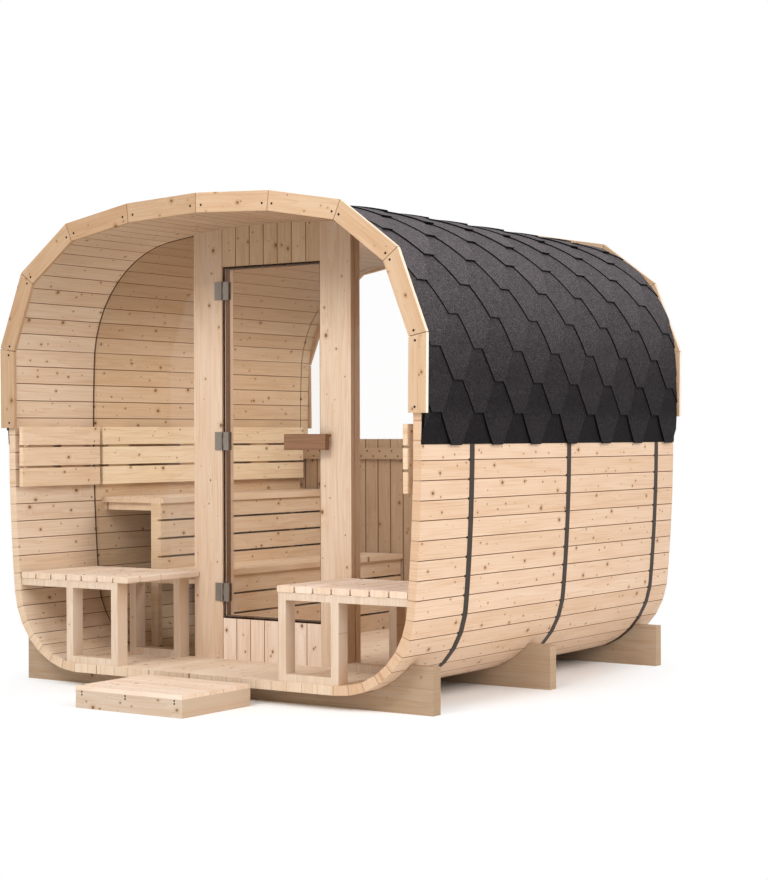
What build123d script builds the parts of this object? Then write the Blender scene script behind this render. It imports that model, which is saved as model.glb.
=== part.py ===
# Garden sauna with a rounded square section. A staved shell lies on three cradles. It has an open
# porch at the front, a glazed front wall with a glass door, and a rear wall that is boards below
# and glass above. Millimetres: X across, Y from the porch to the rear, Z up from the ground.
# The origin is the middle of the underside of the middle cradle.

import os
from math import sqrt

from build123d import *

os.makedirs("parts", exist_ok=True)

# Shell outline
shell_length = 2450.0
shell_underside = 70.0
shell_top = 2300.0
shell_half_width = 1237.0
widest_height = 1250.0
side_radius = 8700.0
roof_radius = 4500.0
corner_radius = 420.0
shoulder_radius = 660.0

# Staves; the first joint is measured to the right from the floor's middle
stave_thickness = 42.0
stave_cover = 87.0
first_joint = -15.0
groove_half_width = 2.0
groove_depth = 3.0
croze_depth = 10.0
croze_play = 0.5

# Cradles: distance of each middle from the shell's front edge
cradle_places = {"front": 143.0, "middle": 1169.0, "rear": 2299.0}
cradle_thickness = 58.0
cradle_half_width = 1220.0
cradle_end_height = 212.0

# Steel bands round the shell
band_places = (412.0, 1303.0, 2245.0)
band_width = 38.0
band_thickness = 2.0

# Roof covering
covering_thickness = 8.0
covering_edge_height = 1166.0

# Fascia boards that trim both ends of the roof. Their joints and lower ends are measured along the
# outline from the ridge.
fascia_thickness = 20.0
fascia_width = 92.0
fascia_joints = (424.0, 815.0, 1171.0, 1548.0)
fascia_ends = {"right": 1891.0, "left": 1944.0}
fascia_overhang = 50.0
fascia_end_overhang = 36.0
mitre_gap = 1.0

# Front wall
porch_depth = 540.0
post_width = 180.0
post_thickness = 74.0
doorway_width = 606.0
doorway_bottom = 315.0
doorway_top = 2060.0
door_stop = 12.0
door_stop_setback = 15.0
wall_board_thickness = 28.0
wall_board_cover = 87.0
wall_board_setback = 3.0
stop_rail_height = 60.0
pane_thickness = 8.0
pane_setback = 28.0

# Door leaf
door_gap = 5.0
door_thickness = 8.0
door_setback = 2.0

# Hinges
hinge_heights = (445.0, 1195.0, 1940.0)
hinge_height = 90.0
hinge_pin_radius = 3.0
hinge_pin_play = 0.3
hinge_barrel_radius = 7.0
hinge_pin_standoff = 9.0
hinge_knuckle_gap = 1.5
hinge_plate_thickness = 5.0
hinge_plate_width = 34.0
hinge_clamp_thickness = 10.0
hinge_clamp_width = 32.0
hinge_rear_thickness = 8.0
hinge_rear_inset = 14.0
hinge_barrel_reach = 11.0

# Door handles and the catch on the post
handle_left = 125.0
handle_length = 247.0
handle_height = 77.0
handle_thickness = 30.0
handle_standoff = 27.0
handle_ease = 3.0
handle_centre_height = 1190.0
inner_handle_length = 150.0
inner_handle_standoff = 20.0
handle_bolt_radius = 8.0
handle_bolt_inset = 35.0
catch_radius = 12.0
catch_play = 5.0
catch_offset = 42.0

# Rear wall
rear_wall_place = 2360.0
rear_board_top = 1200.0
rear_rail_bottom = 1082.0
rear_rail_height = 67.0
rear_rail_thickness = 24.0
rear_pane_setback = 10.0

# Upper and lower inner benches, along the left wall
upper_bench_height = 903.0
upper_bench_width = 430.0
lower_bench_height = 535.0
lower_bench_width = 340.0
bench_plank_thickness = 28.0
plank_gap = 10.0
upper_planks = 4
lower_planks = 3
bench_end_clearance = 8.0
bench_front_board = 28.0
bearer_size = 40.0
bearers = 3
nosing = 15.0
riser_thickness = 20.0
riser_gap = 11.0
upper_riser_slat = 83.0
upper_riser_slats = 4
lower_riser_slats = 4
riser_post_width = 31.0
riser_post_depth = 45.0
riser_posts = 4

# Backrests
backrest_bottom = 970.0
backrest_slat_height = 92.0
backrest_gap = 12.0
backrest_slats = 3
backrest_slat_thickness = 24.0
backrest_depth = 54.0
porch_battens = ((60.0, 240.0), (300.0, 470.0))
room_battens = ((650.0, 810.0), (1230.0, 1390.0), (1860.0, 2020.0))
backrest_rear_clearance = 30.0

# Porch benches
porch_bench_height = 545.0
porch_bench_width = 708.0
porch_bench_wall_gap = 37.0
porch_bench_front = 5.0
porch_bench_rear_clearance = 8.0
porch_slats = 7
porch_slat_thickness = 30.0
porch_slat_ease = 5.0
frame_width = 335.0
frame_insets = {"left": 70.0, "right": 4.0}
frame_leg_width = 42.0
frame_depth = 70.0
frame_rail_height = 35.0
frame_front_setback = 4.0
frame_post_clearance = 2.0

# Loose step in front of the doorway
step_centre = 36.0
step_width = 625.0
step_depth = 473.0
step_distance = 63.0
step_height = 100.0
step_plank_thickness = 19.0
step_planks = 5
step_plank_gap = 3.0
step_board_thickness = 24.0
step_plank_ease = 2.0

shell_front = -cradle_places["middle"]
inner_half_width = shell_half_width - stave_thickness


def along(distance):
    """Y of a place that is measured from the shell's front edge."""
    return shell_front + distance


def section(distance):
    """Cross-section plane, seen from the front, at a distance behind the shell's front edge."""
    return Plane.XZ.offset(-along(distance))


# The right half of the outline is a flat floor and four arcs that run into each other: the lower
# corner, the side, the shoulder and half of the roof.


def circle_meeting(centre_a, radius_a, centre_b, radius_b):
    """The meeting point with the larger X of two circles."""
    reach = (centre_b - centre_a).length
    foot = (radius_a**2 - radius_b**2 + reach**2) / (2 * reach)
    rise = sqrt(radius_a**2 - foot**2)
    axis = (centre_b - centre_a).normalized()
    across = Vector(-axis.Y, axis.X)
    points = [centre_a + axis * foot + across * rise * turn for turn in (1, -1)]
    return max(points, key=lambda point: point.X)


side_centre = Vector(shell_half_width - side_radius, widest_height)
roof_centre = Vector(0, shell_top - roof_radius)
corner_height = shell_underside + corner_radius
corner_reach = side_radius - corner_radius
corner_centre = Vector(
    side_centre.X + sqrt(corner_reach**2 - (corner_height - widest_height) ** 2),
    corner_height,
)
shoulder_centre = circle_meeting(
    side_centre, side_radius - shoulder_radius, roof_centre, roof_radius - shoulder_radius
)
side_foot = side_centre + (corner_centre - side_centre).normalized() * side_radius
side_head = side_centre + (shoulder_centre - side_centre).normalized() * side_radius
roof_foot = roof_centre + (shoulder_centre - roof_centre).normalized() * roof_radius

with BuildLine() as half_outline:
    floor_line = Line((0, shell_underside), (corner_centre.X, shell_underside))
    corner_arc = TangentArc(floor_line @ 1, side_foot, tangent=floor_line % 1)
    side_arc = TangentArc(corner_arc @ 1, side_head, tangent=corner_arc % 1)
    shoulder_arc = TangentArc(side_arc @ 1, roof_foot, tangent=side_arc % 1)
    roof_arc = TangentArc(shoulder_arc @ 1, (0, shell_top), tangent=shoulder_arc % 1)

outline_edges = [floor_line, corner_arc, side_arc, shoulder_arc, roof_arc]
outline_length = sum(edge.length for edge in outline_edges)
stave_count = round(2 * outline_length / stave_cover)
stave_step = 2 * outline_length / stave_count


def outline_place(distance):
    """Point and outward normal on the right half, at a distance from the floor's middle."""
    for edge in outline_edges:
        if distance <= edge.length or edge is roof_arc:
            share = min(distance / edge.length, 1.0)
            direction = edge % share
            return edge @ share, Vector(direction.Y, -direction.X)
        distance -= edge.length


def place_around(distance):
    """Point and outward normal, at a distance anticlockwise from the floor's middle."""
    distance %= 2 * outline_length
    if distance <= outline_length:
        return outline_place(distance)
    point, normal = outline_place(2 * outline_length - distance)
    return Vector(-point.X, point.Y), Vector(-normal.X, normal.Y)


joint_places = [place_around(first_joint + number * stave_step) for number in range(stave_count)]


def joint(number, depth=0.0):
    """Stave joint, counted anticlockwise, at a depth in the shell."""
    point, normal = joint_places[number % stave_count]
    return point - normal * depth


def joint_near(distance):
    """Number of the joint nearest to a distance anticlockwise from the floor's middle."""
    return round((distance - first_joint) / stave_step)


def loop(depth):
    """Closed outline through every stave joint."""
    return [joint(number, depth) for number in range(stave_count)]


def stave_face(first, last, depth, groove_bottom):
    """One face of a run of staves: flat staves, with a groove at every joint between them."""
    turn = 1 if last > first else -1
    points = [joint(first, groove_bottom)]
    for number in range(first, last, turn):
        start = joint(number, depth)
        end = joint(number + turn, depth)
        ease = (end - start).normalized() * groove_half_width
        points += [start + ease, end - ease, joint(number + turn, groove_bottom)]
    return points


def prism(points, start, end):
    """Upright outline made solid between two distances from the shell's front edge."""
    with BuildSketch(section(end)) as profile:
        with BuildLine():
            Polyline(*[(point.X, point.Y) for point in points], close=True)
        make_face()
    extrude(profile.sketch, amount=end - start)


def block(x, y, z, mode=Mode.ADD):
    """Rectangular piece between two values on each axis."""
    centre = ((x[0] + x[1]) / 2, (y[0] + y[1]) / 2, (z[0] + z[1]) / 2)
    with Locations(centre):
        Box(x[1] - x[0], y[1] - y[0], z[1] - z[0], mode=mode)


def finish(piece, name):
    """Label a piece and write its file."""
    piece.part.label = name
    export_step(piece.part, f"parts/{name}.step")


# Cavity inside the staves. Walls and bench frames are cut to it, so that they seat on the staves.
with BuildPart() as room:
    prism(loop(stave_thickness), 0, shell_length)

# Crozes: the grooves cut round the staves' inner faces that hold the panes and the rear wall
pane_start = porch_depth + pane_setback
rear_pane_start = rear_wall_place + rear_pane_setback
croze_bottom = stave_thickness - croze_depth

with BuildPart() as crozes:
    prism(loop(croze_bottom), pane_start - croze_play, pane_start + pane_thickness + croze_play)
    prism(
        loop(croze_bottom),
        rear_pane_start - croze_play,
        rear_pane_start + pane_thickness + croze_play,
    )

# Space that a pane may fill: the cavity and the croze round it, less the play
with BuildPart() as glazed_space:
    prism(loop(croze_bottom + croze_play), 0, shell_length)

# Shell, in runs of staves that follow the outline: floor, corners, sides, shoulders and roof
turns = [sum(edge.length for edge in outline_edges[:count]) for count in range(1, 5)]
right_turns = [joint_near(turn) for turn in turns]
left_turns = [joint_near(-turn) for turn in turns]

shell_runs = {
    "floor_staves": (left_turns[0], right_turns[0]),
    "right_corner_staves": (right_turns[0], right_turns[1]),
    "right_side_staves": (right_turns[1], right_turns[2]),
    "right_shoulder_staves": (right_turns[2], right_turns[3]),
    "roof_staves": (right_turns[3], left_turns[3] + stave_count),
    "left_shoulder_staves": (left_turns[3], left_turns[2]),
    "left_side_staves": (left_turns[2], left_turns[1]),
    "left_corner_staves": (left_turns[1], left_turns[0]),
}

for name, (first, last) in shell_runs.items():
    outer = stave_face(first, last, 0.0, groove_depth)
    inner = stave_face(last, first, stave_thickness, stave_thickness - groove_depth)
    with BuildPart() as staves:
        prism(outer + inner, 0, shell_length)
        add(crozes.part, mode=Mode.SUBTRACT)
    finish(staves, name)

# Cradles: planks on edge across the shell, with their tops cut to its round underside
with BuildPart() as shell_body:
    with BuildSketch(section(shell_length)):
        with BuildLine():
            add(outline_edges)
            add([edge.mirror(Plane.YZ) for edge in outline_edges])
        make_face()
    extrude(amount=shell_length)

for name, place in cradle_places.items():
    with BuildPart() as cradle:
        block(
            (-cradle_half_width, cradle_half_width),
            (along(place) - cradle_thickness / 2, along(place) + cradle_thickness / 2),
            (0, cradle_end_height),
        )
        add(shell_body.part, mode=Mode.SUBTRACT)
    finish(cradle, f"cradle_{name}")



def edge_joint(turn):
    """Joint at which the roof covering ends, on the right (turn 1) or on the left (turn -1)."""
    numbers = [turn * number for number in range(1, stave_count // 2)]
    return min(numbers, key=lambda number: abs(joint(number).Y - covering_edge_height))


right_edge = edge_joint(1)
left_edge = edge_joint(-1)
ridge = joint_near(outline_length)

# Steel bands, from one edge of the covering down, under the floor and up to the other edge
with BuildPart() as bands:
    for place in band_places:
        numbers = range(left_edge, right_edge + 1)
        inner = [joint(number) for number in numbers]
        outer = [joint(number, -band_thickness) for number in reversed(numbers)]
        prism(inner + outer, place - band_width / 2, place + band_width / 2)
finish(bands, "steel_bands")

# Roof covering in two halves that meet at the joint nearest to the ridge
for name, first, last in (
    ("right_roof_covering", right_edge, ridge),
    ("left_roof_covering", ridge, left_edge + stave_count),
):
    numbers = range(first, last + 1)
    inner = [joint(number) for number in numbers]
    outer = [joint(number, -covering_thickness) for number in reversed(numbers)]
    with BuildPart() as covering:
        prism(inner + outer, 0, shell_length)
    finish(covering, name)


# Fascia boards: straight boards, mitred where they meet. Their outer corners stand proud of the
# shell, so that they cover the edge of the roof covering.
def fascia_corner(distance, overhang):
    """Outer corner on the right half, at a distance from the ridge."""
    point, normal = outline_place(outline_length - distance)
    return point + normal * overhang


def mitre(corners, number):
    """Inner corner behind an outer one, where the inner edges of two boards cross."""
    here = corners[number]
    before = corners[max(number - 1, 0)]
    at_ridge = number == len(corners) - 1
    after = Vector(-before.X, before.Y) if at_ridge else corners[number + 1]
    forward = (after - here).normalized()
    backward = (here - before).normalized() if number else forward
    inward = Vector(-forward.Y - backward.Y, forward.X + backward.X).normalized()
    return here + inward * fascia_width / (inward.X * -forward.Y + inward.Y * forward.X)


for end, start in (("front", -fascia_thickness), ("rear", shell_length)):
    for side, turn in (("right", 1), ("left", -1)):
        outer = [fascia_corner(fascia_ends[side], fascia_end_overhang)]
        outer += [fascia_corner(place, fascia_overhang) for place in reversed(fascia_joints)]
        outer.append(fascia_corner(0, fascia_overhang))
        inner = [mitre(outer, number) for number in range(len(outer))]
        with BuildPart() as fascia:
            for number in range(len(outer) - 1):
                low, high = outer[number], outer[number + 1]
                back_off = (high - low).normalized() * mitre_gap / 2
                corners = [
                    low + back_off,
                    high - back_off,
                    inner[number + 1] - back_off,
                    inner[number] + back_off,
                ]
                board = [Vector(corner.X * turn, corner.Y) for corner in corners]
                prism(board, start, start + fascia_thickness)
        finish(fascia, f"{end}_fascia_{side}")


# Front wall
front = along(porch_depth)
half_doorway = doorway_width / 2
stop_front = front + door_stop_setback
wall_back = front + post_thickness
floor_height = shell_underside + stave_thickness
stop_z = (doorway_bottom + door_stop, doorway_top - door_stop)
pane_front = along(pane_start)
pane_slot = (pane_front - croze_play, pane_front + pane_thickness + croze_play)

for side, turn in (("left", -1), ("right", 1)):
    inner, outer = turn * half_doorway, turn * (half_doorway + post_width)
    stop = turn * (half_doorway - door_stop)
    slot = outer - turn * croze_depth
    with BuildPart() as post:
        block(sorted((inner, outer)), (front, wall_back), (0, shell_top))
        block(sorted((stop, inner)), (stop_front, wall_back), stop_z)
        block(sorted((slot, outer)), pane_slot, (0, shell_top), mode=Mode.SUBTRACT)
        add(room.part, mode=Mode.INTERSECT)
    finish(post, f"{side}_door_post")

    pane_inner = slot + turn * croze_play
    with BuildPart() as pane:
        block(
            sorted((pane_inner, turn * shell_half_width)),
            (pane_front, pane_front + pane_thickness),
            (0, shell_top),
        )
        add(glazed_space.part, mode=Mode.INTERSECT)
    finish(pane, f"{side}_side_glass")


def boarded_wall(x, start, z):
    """Upright boards side by side, with grooves on both faces at the joints between them."""
    count = round((x[1] - x[0]) / wall_board_cover)
    cover = (x[1] - x[0]) / count
    back = start + wall_board_thickness
    block(x, (start, back), z)
    with BuildSketch(Plane.XY.offset(z[0])) as grooves:
        for number in range(1, count):
            joint_x = x[0] + number * cover
            for face, inward in ((start, 1), (back, -1)):
                with BuildLine():
                    Polyline(
                        (joint_x - groove_half_width, face),
                        (joint_x + groove_half_width, face),
                        (joint_x, face + inward * groove_depth),
                        close=True,
                    )
                make_face()
    extrude(grooves.sketch, amount=z[1] - z[0], mode=Mode.SUBTRACT)


doorway = (-half_doorway, half_doorway)
board_front = front + wall_board_setback
rail_front = board_front + wall_board_thickness

with BuildPart() as header:
    boarded_wall(doorway, board_front, (doorway_top, shell_top))
    block(
        doorway,
        (rail_front, wall_back),
        (stop_z[1], doorway_top + stop_rail_height),
    )
    add(room.part, mode=Mode.INTERSECT)
finish(header, "door_header")

with BuildPart() as sill:
    boarded_wall(doorway, board_front, (floor_height, doorway_bottom))
    block(
        doorway,
        (rail_front, wall_back),
        (doorway_bottom - stop_rail_height, stop_z[0]),
    )
finish(sill, "door_sill")

# Door leaf: one sheet of glass
leaf_front = front + door_setback
leaf_back = leaf_front + door_thickness
leaf_edge = half_doorway - door_gap

with BuildPart() as leaf:
    block(
        (-leaf_edge, leaf_edge),
        (leaf_front, leaf_back),
        (doorway_bottom + door_gap, doorway_top - door_gap),
    )
    fillet(leaf.edges().filter_by(Axis.Y), radius=door_gap)
finish(leaf, "door_glass")

# Hinges: a plate on the post with two knuckles and the pin, and on the leaf a clamp with the
# middle knuckle and a plate behind the glass
pin_x = -half_doorway + door_gap / 2
pin_y = front - hinge_pin_standoff
knuckle_height = (hinge_height - 2 * hinge_knuckle_gap) / 3
plate_edge = pin_x - hinge_barrel_reach
clamp_edge = pin_x + hinge_barrel_reach
bore_radius = hinge_pin_radius + hinge_pin_play


def knuckle(bottom, height):
    """Round knuckle on the hinge axis."""
    with Locations((pin_x, pin_y, bottom + height / 2)):
        Cylinder(hinge_barrel_radius, height)


with BuildPart() as post_hinges:
    for centre in hinge_heights:
        bottom, top = centre - hinge_height / 2, centre + hinge_height / 2
        plate_y = (front - hinge_plate_thickness, front)
        block((plate_edge - hinge_plate_width, plate_edge), plate_y, (bottom, top))
        for knuckle_bottom in (bottom, top - knuckle_height):
            tab_z = (knuckle_bottom, knuckle_bottom + knuckle_height)
            block((plate_edge, pin_x), plate_y, tab_z)
            knuckle(knuckle_bottom, knuckle_height)
        with Locations((pin_x, pin_y, centre)):
            Cylinder(hinge_pin_radius, hinge_height)
finish(post_hinges, "post_hinge_plates")

with BuildPart() as door_hinges:
    for centre in hinge_heights:
        bottom, top = centre - hinge_height / 2, centre + hinge_height / 2
        clamp_y = (leaf_front - hinge_clamp_thickness, leaf_front)
        block((clamp_edge, clamp_edge + hinge_clamp_width), clamp_y, (bottom, top))
        tab_z = (centre - knuckle_height / 2, centre + knuckle_height / 2)
        block((pin_x, clamp_edge), (clamp_y[0], pin_y + hinge_barrel_radius), tab_z)
        knuckle(tab_z[0], knuckle_height)
        with Locations((pin_x, pin_y, centre)):
            Cylinder(bore_radius, knuckle_height, mode=Mode.SUBTRACT)
        block(
            (pin_x + hinge_rear_inset, clamp_edge + hinge_clamp_width),
            (leaf_back, leaf_back + hinge_rear_thickness),
            (bottom, top),
        )
finish(door_hinges, "door_hinge_clamps")

# Handles: wooden blocks outside and inside, each on two round standoffs against the glass. The
# outer one reaches over the post, where the catch stands behind it.
handle_z = (handle_centre_height - handle_height / 2, handle_centre_height + handle_height / 2)
bolt_places = (
    handle_left + handle_bolt_inset,
    handle_left + inner_handle_length - handle_bolt_inset,
)
outer_handle_back = leaf_front - handle_standoff
inner_handle_front = leaf_back + inner_handle_standoff


def standoffs(face, length):
    """Round standoffs that grow from a face of the glass towards the back of a handle."""
    for bolt_x in bolt_places:
        with Locations(Location((bolt_x, face + length / 2, handle_centre_height), (90, 0, 0))):
            Cylinder(handle_bolt_radius, abs(length))


with BuildPart() as handles:
    block(
        (handle_left, handle_left + handle_length),
        (outer_handle_back - handle_thickness, outer_handle_back),
        handle_z,
    )
    chamfer(handles.edges().filter_by(Axis.X), length=handle_ease)
    standoffs(leaf_front, -handle_standoff)
    block(
        (handle_left, handle_left + inner_handle_length),
        (inner_handle_front, inner_handle_front + handle_thickness),
        handle_z,
    )
    chamfer(handles.edges(Select.LAST).filter_by(Axis.X), length=handle_ease)
    standoffs(leaf_back, inner_handle_standoff)
finish(handles, "door_handles")

catch_length = front - outer_handle_back - catch_play
with BuildPart() as catch:
    with Locations(
        Location(
            (half_doorway + catch_offset, front - catch_length / 2, handle_centre_height),
            (90, 0, 0),
        )
    ):
        Cylinder(catch_radius, catch_length)
finish(catch, "door_catch")

# Rear wall: grooved boards up to the sill of the window, and a screwed rail inside
rear_front = along(rear_wall_place)

with BuildPart() as rear_wall:
    boarded_wall(
        (-shell_half_width, shell_half_width), rear_front, (floor_height, rear_board_top)
    )
    add(room.part, mode=Mode.INTERSECT)
finish(rear_wall, "rear_wall_boards")

with BuildPart() as rear_rail:
    block(
        (-shell_half_width, shell_half_width),
        (rear_front - rear_rail_thickness, rear_front),
        (rear_rail_bottom, rear_rail_bottom + rear_rail_height),
    )
    add(room.part, mode=Mode.INTERSECT)
finish(rear_rail, "rear_wall_rail")

rear_pane_front = along(rear_pane_start)
with BuildPart() as rear_pane:
    block(
        (-shell_half_width, shell_half_width),
        (rear_pane_front, rear_pane_front + pane_thickness),
        (rear_board_top, shell_top),
    )
    add(glazed_space.part, mode=Mode.INTERSECT)
finish(rear_pane, "rear_glass")

# Inner benches. Each top is planks along the wall on bearers, with a cross board over the ends.
bench_front = wall_back + bench_end_clearance
bench_rear = rear_front - bench_end_clearance


def spread(first, last, count):
    """Places evenly spaced from the first to the last."""
    return [first + (last - first) * number / (count - 1) for number in range(count)]


def planks(x, count, y, z):
    """Planks side by side along Y, with equal gaps."""
    width = (x[1] - x[0] - plank_gap * (count - 1)) / count
    for number in range(count):
        left = x[0] + number * (width + plank_gap)
        block((left, left + width), y, z)


def bench_top(x, count, height):
    """Planks, the bearers under them and the cross board over their front ends."""
    z = (height - bench_plank_thickness, height)
    planks(x, count, (bench_front + bench_front_board, bench_rear), z)
    block(x, (bench_front, bench_front + bench_front_board), z)
    for middle in spread(bench_front + bearer_size, bench_rear - bearer_size, bearers):
        y = (middle - bearer_size / 2, middle + bearer_size / 2)
        bearer_end = x[1] - nosing - riser_thickness - riser_post_depth
        block((x[0], bearer_end), y, (z[0] - bearer_size, z[0]))


upper_bench_edge = inner_half_width - upper_bench_width
lower_bench_edge = upper_bench_edge + nosing - lower_bench_width
upper_face = -upper_bench_edge - nosing
lower_face = -lower_bench_edge - nosing
upper_underside = upper_bench_height - bench_plank_thickness
lower_underside = lower_bench_height - bench_plank_thickness

with BuildPart() as upper_top:
    bench_top((-shell_half_width, -upper_bench_edge), upper_planks, upper_bench_height)
    add(room.part, mode=Mode.INTERSECT)
finish(upper_top, "upper_bench_top")

with BuildPart() as lower_top:
    bench_top((upper_face, -lower_bench_edge), lower_planks, lower_bench_height)
finish(lower_top, "lower_bench_top")


def riser(face, top, slat, count, post_bottom, post_top):
    """Slats along Y on upright posts behind them."""
    slat_x = (face - riser_thickness, face)
    post_x = (slat_x[0] - riser_post_depth, slat_x[0])
    for number in range(count):
        slat_top = top - number * (slat + riser_gap)
        block(slat_x, (bench_front, bench_rear), (slat_top - slat, slat_top))
    for middle in spread(
        bench_front + riser_post_width / 2, bench_rear - riser_post_width / 2, riser_posts
    ):
        y = (middle - riser_post_width / 2, middle + riser_post_width / 2)
        block(post_x, y, (post_bottom, post_top))


with BuildPart() as upper_riser:
    riser(
        upper_face,
        upper_underside,
        upper_riser_slat,
        upper_riser_slats,
        floor_height,
        upper_underside,
    )
    add(room.part, mode=Mode.INTERSECT)
finish(upper_riser, "upper_bench_riser")

lower_riser_height = lower_underside - floor_height
lower_slat = (lower_riser_height - (lower_riser_slats - 1) * riser_gap) / lower_riser_slats
with BuildPart() as lower_riser:
    riser(
        lower_face, lower_underside, lower_slat, lower_riser_slats, floor_height, lower_underside
    )
finish(lower_riser, "lower_bench_riser")


# Backrests: level slats on upright battens that are screwed to the shell
backrest_face = inner_half_width - backrest_depth


def backrest(turn, slat_y, battens):
    """Slats along Y in front of battens, on one side of the shell."""
    slat_back = backrest_face + backrest_slat_thickness
    top = backrest_bottom + backrest_slats * (backrest_slat_height + backrest_gap) - backrest_gap
    for number in range(backrest_slats):
        bottom = backrest_bottom + number * (backrest_slat_height + backrest_gap)
        block(
            sorted((turn * backrest_face, turn * slat_back)),
            slat_y,
            (bottom, bottom + backrest_slat_height),
        )
    for start, end in battens:
        block(
            sorted((turn * slat_back, turn * shell_half_width)),
            (along(start), along(end)),
            (backrest_bottom, top),
        )
    add(room.part, mode=Mode.INTERSECT)


porch_backrest_y = (along(0), pane_front - bench_end_clearance)
room_backrest_y = (
    pane_front + pane_thickness + bench_end_clearance,
    rear_front - backrest_rear_clearance,
)

with BuildPart() as left_porch_backrest:
    backrest(-1, porch_backrest_y, porch_battens)
finish(left_porch_backrest, "left_porch_backrest")

with BuildPart() as right_porch_backrest:
    backrest(1, porch_backrest_y, porch_battens)
finish(right_porch_backrest, "right_porch_backrest")

with BuildPart() as room_backrest:
    backrest(-1, room_backrest_y, room_battens)
finish(room_backrest, "inner_backrest")

# Porch benches: slats with eased edges along Y on two open frames
porch_slat_y = (along(porch_bench_front), front - porch_bench_rear_clearance)
porch_underside = porch_bench_height - porch_slat_thickness
porch_bench_outer = inner_half_width - porch_bench_wall_gap
porch_bench_inner = porch_bench_outer - porch_bench_width
frame_starts = (
    porch_slat_y[0] + frame_front_setback,
    front - frame_post_clearance - frame_depth,
)

for side, turn in (("left", -1), ("right", 1)):
    slat_width = (
        porch_bench_outer - porch_bench_inner - plank_gap * (porch_slats - 1)
    ) / porch_slats
    with BuildPart() as slats:
        for number in range(porch_slats):
            near = porch_bench_inner + number * (slat_width + plank_gap)
            block(
                sorted((turn * near, turn * (near + slat_width))),
                porch_slat_y,
                (porch_underside, porch_bench_height),
            )
        chamfer(slats.edges().filter_by(Axis.Y), length=porch_slat_ease)
    finish(slats, f"{side}_porch_bench_slats")

    frame_inner = porch_bench_inner + frame_insets[side]
    frame_outer = frame_inner + frame_width
    with BuildPart() as frames:
        for start in frame_starts:
            y = (start, start + frame_depth)
            rail_top = (porch_underside - frame_rail_height, porch_underside)
            block(sorted((turn * frame_inner, turn * porch_bench_outer)), y, rail_top)
            block(
                sorted((turn * frame_inner, turn * frame_outer)),
                y,
                (floor_height, floor_height + frame_rail_height),
            )
            for leg in (frame_inner, frame_outer - frame_leg_width):
                block(
                    sorted((turn * leg, turn * (leg + frame_leg_width))),
                    y,
                    (floor_height, porch_underside),
                )
        add(room.part, mode=Mode.INTERSECT)
    finish(frames, f"{side}_porch_bench_frames")

# Step: planks across a box of four boards
step_rear = along(-step_distance)
step_front = step_rear - step_depth
step_x = (step_centre - step_width / 2, step_centre + step_width / 2)
step_box_top = step_height - step_plank_thickness

with BuildPart() as step_box:
    block(step_x, (step_front, step_rear), (0, step_box_top))
    block(
        (step_x[0] + step_board_thickness, step_x[1] - step_board_thickness),
        (step_front + step_board_thickness, step_rear - step_board_thickness),
        (0, step_box_top),
        mode=Mode.SUBTRACT,
    )
finish(step_box, "step_box")

step_plank_width = (step_depth - step_plank_gap * (step_planks - 1)) / step_planks
with BuildPart() as step_top:
    for number in range(step_planks):
        near = step_front + number * (step_plank_width + step_plank_gap)
        block(step_x, (near, near + step_plank_width), (step_box_top, step_height))
    top_edges = step_top.edges().filter_by(Axis.X).group_by(Axis.Z)[-1]
    chamfer(top_edges, length=step_plank_ease)
finish(step_top, "step_planks")
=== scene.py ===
# A garden sauna with a rounded square section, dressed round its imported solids. Metres:
# X across, Y from the porch to the rear, Z up from the ground under the middle cradle.

import random
from math import atan2, cos, pi, radians, sin, sqrt

import bmesh
import bpy
from mathutils import Matrix, Vector


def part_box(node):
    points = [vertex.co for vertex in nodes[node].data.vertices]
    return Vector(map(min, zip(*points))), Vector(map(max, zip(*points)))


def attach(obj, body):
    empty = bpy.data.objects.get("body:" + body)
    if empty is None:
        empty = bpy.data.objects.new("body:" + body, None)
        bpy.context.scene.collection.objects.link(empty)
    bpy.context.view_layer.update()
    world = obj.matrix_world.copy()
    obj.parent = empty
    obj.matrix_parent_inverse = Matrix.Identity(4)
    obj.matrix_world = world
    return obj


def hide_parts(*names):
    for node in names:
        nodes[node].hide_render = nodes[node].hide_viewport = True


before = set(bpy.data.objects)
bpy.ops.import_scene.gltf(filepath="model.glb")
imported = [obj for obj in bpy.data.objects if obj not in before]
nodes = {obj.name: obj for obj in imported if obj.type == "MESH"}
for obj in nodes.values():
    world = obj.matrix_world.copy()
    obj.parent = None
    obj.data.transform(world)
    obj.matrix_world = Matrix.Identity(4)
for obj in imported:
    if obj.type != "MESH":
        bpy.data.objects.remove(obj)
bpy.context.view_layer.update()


# Cradles
# Three spruce planks on edge carry the shell, with their tops cut to its round underside.
# They are planed and left bare, like all the wood of the sauna.


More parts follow.
